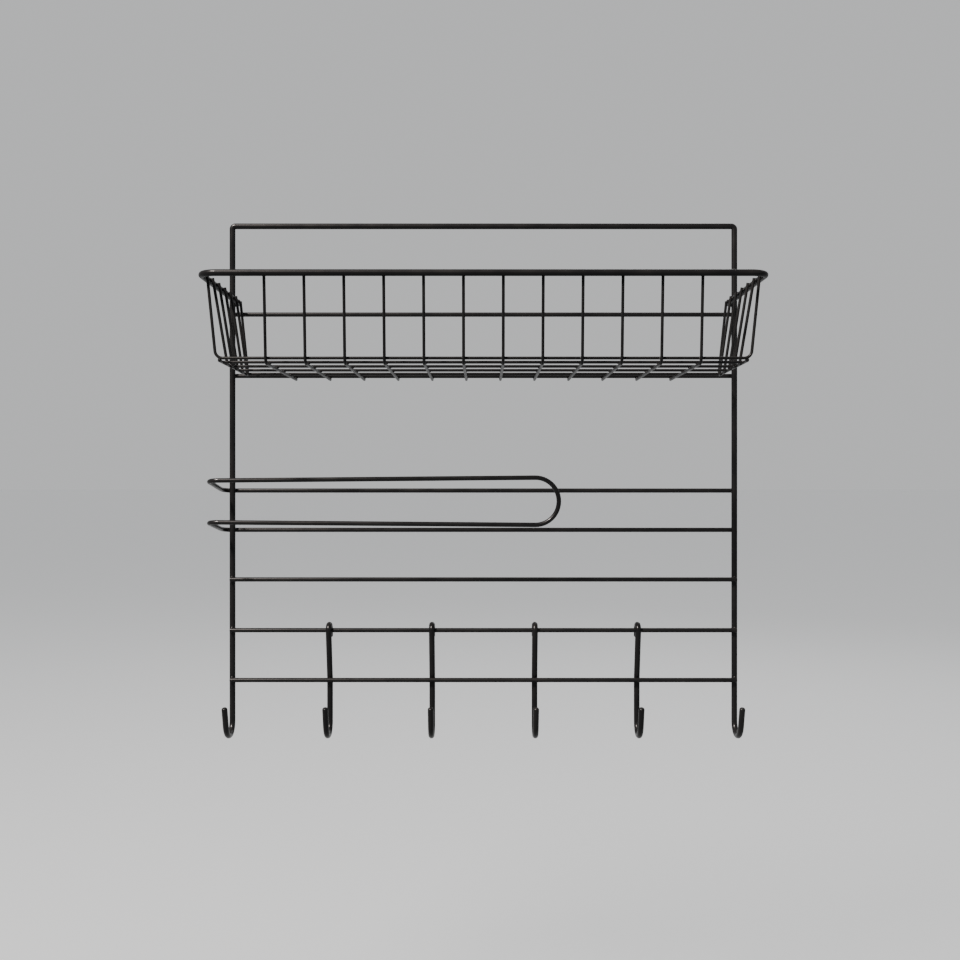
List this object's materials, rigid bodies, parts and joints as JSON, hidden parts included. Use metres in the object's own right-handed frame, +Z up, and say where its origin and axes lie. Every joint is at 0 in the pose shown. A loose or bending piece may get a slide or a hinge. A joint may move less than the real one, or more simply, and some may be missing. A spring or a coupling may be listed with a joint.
{
  "type": "wire wall rack",
  "caption": "Wall-hung wire rack with an open basket on top, a looped arm for a paper roll, cross bars, and hooks that slide along the lower rail.",
  "frame": {"origin": "middle of the frame's top bar, on the axis of its wire, where the rack hangs", "axes": "+X to the right as the user faces the rack, +Y back towards the wall, +Z up"},
  "size_m": [0.4641, 0.1606, 0.4589],
  "materials": {
    "frame_coat": "satin black powder coat",
    "basket_coat": "satin black powder coat",
    "hook_coat": "satin black powder coat"
  },
  "bodies": {
    "rack": {"frame_rod": "frame_coat", "upper_basket_bar": "frame_coat", "lower_basket_bar": "frame_coat", "towel_rod": "frame_coat", "middle_bar": "frame_coat", "hook_rail_upper": "frame_coat", "hook_rail_lower": "frame_coat", "basket_rim": "basket_coat", "basket_front_floor_wire": "basket_coat", "basket_front_wire_01": "basket_coat", "basket_front_wire_02": "basket_coat", "basket_front_wire_03": "basket_coat", "basket_front_wire_04": "basket_coat", "basket_front_wire_05": "basket_coat", "basket_front_wire_06": "basket_coat", "basket_front_wire_07": "basket_coat", "basket_front_wire_08": "basket_coat", "basket_front_wire_09": "basket_coat", "basket_front_wire_10": "basket_coat", "basket_front_wire_11": "basket_coat", "basket_front_wire_12": "basket_coat", "basket_floor_wire_1": "basket_coat", "basket_floor_wire_2": "basket_coat", "basket_floor_wire_3": "basket_coat", "basket_floor_wire_4": "basket_coat", "basket_sill_left": "basket_coat", "basket_sill_right": "basket_coat", "basket_side_wire_left_1": "basket_coat", "basket_side_wire_left_2": "basket_coat", "basket_side_wire_left_3": "basket_coat", "basket_side_wire_left_4": "basket_coat", "basket_side_wire_left_5": "basket_coat", "basket_side_wire_right_1": "basket_coat", "basket_side_wire_right_2": "basket_coat", "basket_side_wire_right_3": "basket_coat", "basket_side_wire_right_4": "basket_coat", "basket_side_wire_right_5": "basket_coat"},
    "hook_1": {"sliding_hook_1": "hook_coat"},
    "hook_2": {"sliding_hook_2": "hook_coat"},
    "hook_3": {"sliding_hook_3": "hook_coat"},
    "hook_4": {"sliding_hook_4": "hook_coat"}
  },
  "joints": [
    {"name": "hook_1_slide", "type": "slide", "parent": "rack", "child": "hook_1", "axis": [1, 0, 0], "range_m": [-0.08, 0.043]},
    {"name": "hook_2_slide", "type": "slide", "parent": "rack", "child": "hook_2", "axis": [1, 0, 0], "range_m": [-0.043, 0.043]},
    {"name": "hook_3_slide", "type": "slide", "parent": "rack", "child": "hook_3", "axis": [1, 0, 0], "range_m": [-0.043, 0.043]},
    {"name": "hook_4_slide", "type": "slide", "parent": "rack", "child": "hook_4", "axis": [1, 0, 0], "range_m": [-0.043, 0.08]}
  ]
}
